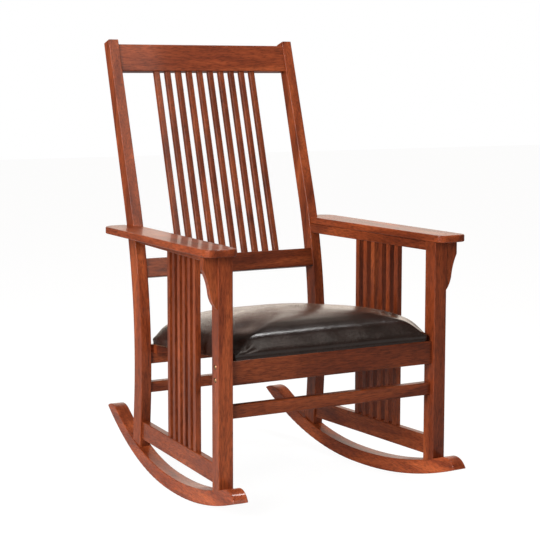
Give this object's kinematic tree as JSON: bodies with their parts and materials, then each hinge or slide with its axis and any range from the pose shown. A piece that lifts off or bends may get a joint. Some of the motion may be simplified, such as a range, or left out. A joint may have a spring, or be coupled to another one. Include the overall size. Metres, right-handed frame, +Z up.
{
  "type": "upholstered rocking chair",
  "caption": "Slatted hardwood rocking chair in the mission style, with flat arms, corbels, swept rear posts, curved rockers and a crowned leather seat.",
  "frame": {"origin": "on the floor, under the middle of the chair's overall plan", "axes": "+Z up, +Y towards the back of the chair, -Y the way the sitter faces, +X towards the sitter's left arm seen from the front on the right-hand side of the picture"},
  "size_m": [0.706, 0.8298, 1.099],
  "materials": {
    "stained_wood": "satin",
    "plywood": "matte",
    "dowel_wood": "matte",
    "seat_leather": "semi-gloss",
    "foam": "matte",
    "cambric": "matte",
    "bronzed_steel": "satin",
    "zinc_steel": "satin"
  },
  "bodies": {
    "root": {"rear_post_left": "stained_wood", "rear_post_right": "stained_wood", "front_post_left": "stained_wood", "front_post_right": "stained_wood", "crest_rail": "stained_wood", "lower_back_rail": "stained_wood", "rear_seat_rail": "stained_wood", "rear_stretcher": "stained_wood", "front_seat_rail": "stained_wood", "front_stretcher": "stained_wood", "arm_left": "stained_wood", "arm_right": "stained_wood", "arm_rail_left": "stained_wood", "arm_rail_right": "stained_wood", "side_rail_left": "stained_wood", "side_rail_right": "stained_wood", "corbel_left": "stained_wood", "corbel_right": "stained_wood", "rocker_left": "stained_wood", "rocker_right": "stained_wood", "front_seat_cleat": "stained_wood", "rear_seat_cleat": "stained_wood", "back_slat_1": "stained_wood", "back_slat_2": "stained_wood", "back_slat_3": "stained_wood", "back_slat_4": "stained_wood", "back_slat_5": "stained_wood", "back_slat_6": "stained_wood", "back_slat_7": "stained_wood", "back_slat_8": "stained_wood", "back_slat_9": "stained_wood", "back_slat_10": "stained_wood", "side_slat_left_1": "stained_wood", "side_slat_left_2": "stained_wood", "side_slat_left_3": "stained_wood", "side_slat_left_4": "stained_wood", "side_slat_left_5": "stained_wood", "side_slat_left_6": "stained_wood", "side_slat_right_1": "stained_wood", "side_slat_right_2": "stained_wood", "side_slat_right_3": "stained_wood", "side_slat_right_4": "stained_wood", "side_slat_right_5": "stained_wood", "side_slat_right_6": "stained_wood", "seat_board": "plywood", "seat_foam": "foam", "seat_cover": "seat_leather", "dust_cover": "cambric", "frame_bolts": "bronzed_steel", "barrel_nuts": "zinc_steel", "rocker_screws": "zinc_steel", "arm_screws": "zinc_steel", "seat_screws": "zinc_steel", "frame_dowels": "dowel_wood"}
  },
  "joints": []
}
